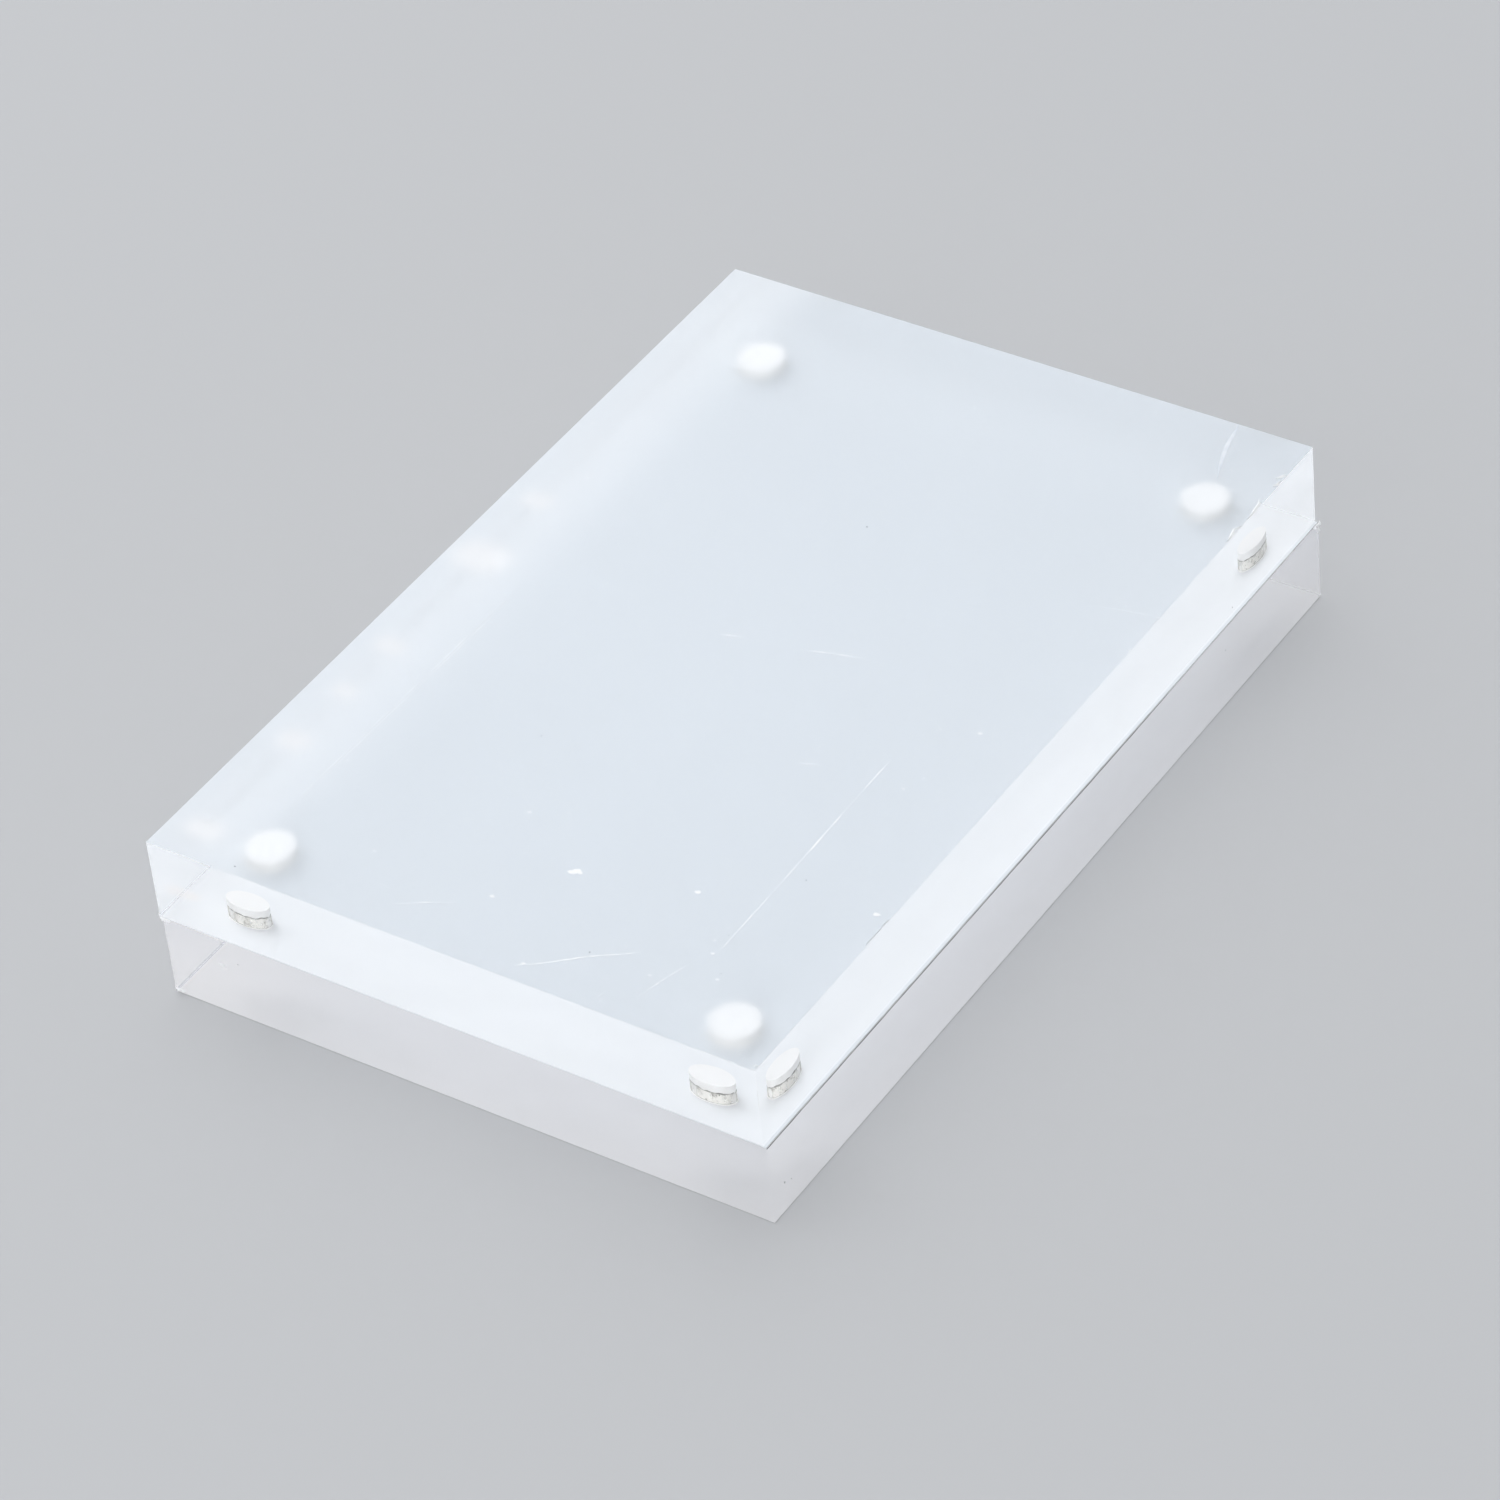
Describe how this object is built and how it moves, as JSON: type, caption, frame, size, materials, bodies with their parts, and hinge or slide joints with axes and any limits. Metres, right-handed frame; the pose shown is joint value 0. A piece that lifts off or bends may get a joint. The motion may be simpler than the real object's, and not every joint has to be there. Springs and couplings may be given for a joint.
{
  "type": "acrylic block frame",
  "caption": "Display block of thick clear slabs that small corner magnets hold face to face, to grip a print between them; it lies flat or stands on a polished edge.",
  "frame": {"origin": "middle of the footprint, on the surface that the back slab's outer face lies on", "axes": "+X along the short side, +Y along the long side, +Z through the thickness from the back slab to the front slab"},
  "size_m": [0.102, 0.1524, 0.0279],
  "materials": {
    "clear_acrylic": "polished",
    "masking_film": "satin",
    "nickel_plate": "gloss",
    "cured_adhesive": "satin"
  },
  "bodies": {
    "back_half": {"back_block": "clear_acrylic", "back_magnet_near_left": "nickel_plate", "back_glue_near_left": "cured_adhesive", "back_magnet_near_right": "nickel_plate", "back_glue_near_right": "cured_adhesive", "back_magnet_far_right": "nickel_plate", "back_glue_far_right": "cured_adhesive", "back_magnet_far_left": "nickel_plate", "back_glue_far_left": "cured_adhesive", "back_inner_film": "masking_film", "back_outer_film": "masking_film"},
    "front_half": {"front_block": "clear_acrylic", "front_magnet_near_left": "nickel_plate", "front_glue_near_left": "cured_adhesive", "front_magnet_near_right": "nickel_plate", "front_glue_near_right": "cured_adhesive", "front_magnet_far_right": "nickel_plate", "front_glue_far_right": "cured_adhesive", "front_magnet_far_left": "nickel_plate", "front_glue_far_left": "cured_adhesive", "front_inner_film": "masking_film", "front_outer_film": "masking_film"}
  },
  "joints": [
    {"name": "front_lift", "type": "slide", "parent": "back_half", "child": "front_half", "axis": [0, 0, 1], "range_m": [0, 0.04]}
  ]
}
